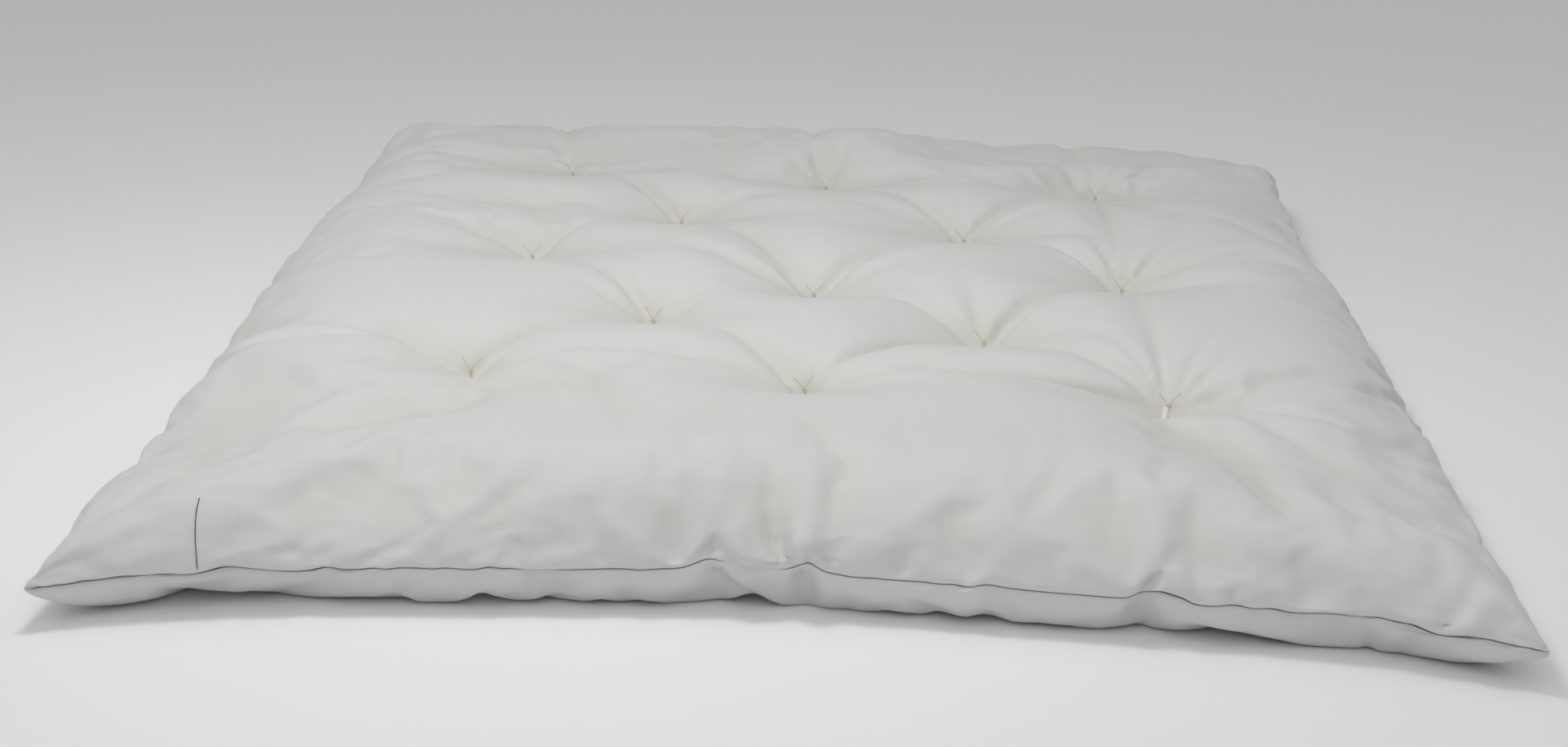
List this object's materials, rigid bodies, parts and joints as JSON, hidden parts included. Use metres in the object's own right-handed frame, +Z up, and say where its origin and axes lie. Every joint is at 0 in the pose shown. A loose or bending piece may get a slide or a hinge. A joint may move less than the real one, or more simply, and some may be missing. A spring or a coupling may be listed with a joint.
{
  "type": "futon mattress",
  "caption": "Tufted futon mattress: layered cotton batting in a plain knife-edge cotton casing, tied through with twine into deep dimples.",
  "frame": {"origin": "on the floor, under the middle of the mattress's outline", "axes": "+Y along the length, towards the end nearer the tufting (the back end, with the hand-closed opening); +X across the width; +Z up"},
  "size_m": [1.35, 1.9, 0.136],
  "materials": {
    "casing_cotton": "fine plain-weave unbleached cotton drill, soft matte with a faint sheen",
    "cotton_batting": "felted raw cotton",
    "tufting_twine": "twisted waxed cotton twine",
    "sewing_thread": "matte polyester-cotton thread",
    "dark_thread": "matte dark grey-blue thread"
  },
  "bodies": {
    "root": {"casing_top_panel": "casing_cotton", "casing_under_panel": "casing_cotton", "batting_layer_1": "cotton_batting", "batting_layer_2": "cotton_batting", "batting_layer_3": "cotton_batting", "batting_layer_4": "cotton_batting", "batting_layer_5": "cotton_batting", "batting_layer_6": "cotton_batting", "tuft_twine_01": "tufting_twine", "tuft_twine_02": "tufting_twine", "tuft_twine_03": "tufting_twine", "tuft_twine_04": "tufting_twine", "tuft_twine_05": "tufting_twine", "tuft_twine_06": "tufting_twine", "tuft_twine_07": "tufting_twine", "tuft_twine_08": "tufting_twine", "tuft_twine_09": "tufting_twine", "tuft_twine_10": "tufting_twine", "tuft_twine_11": "tufting_twine", "tuft_twine_12": "tufting_twine", "tuft_twine_13": "tufting_twine", "seam_needle_thread": "sewing_thread", "seam_bobbin_thread": "sewing_thread", "closing_thread": "sewing_thread", "loose_thread_end": "dark_thread"}
  },
  "joints": []
}
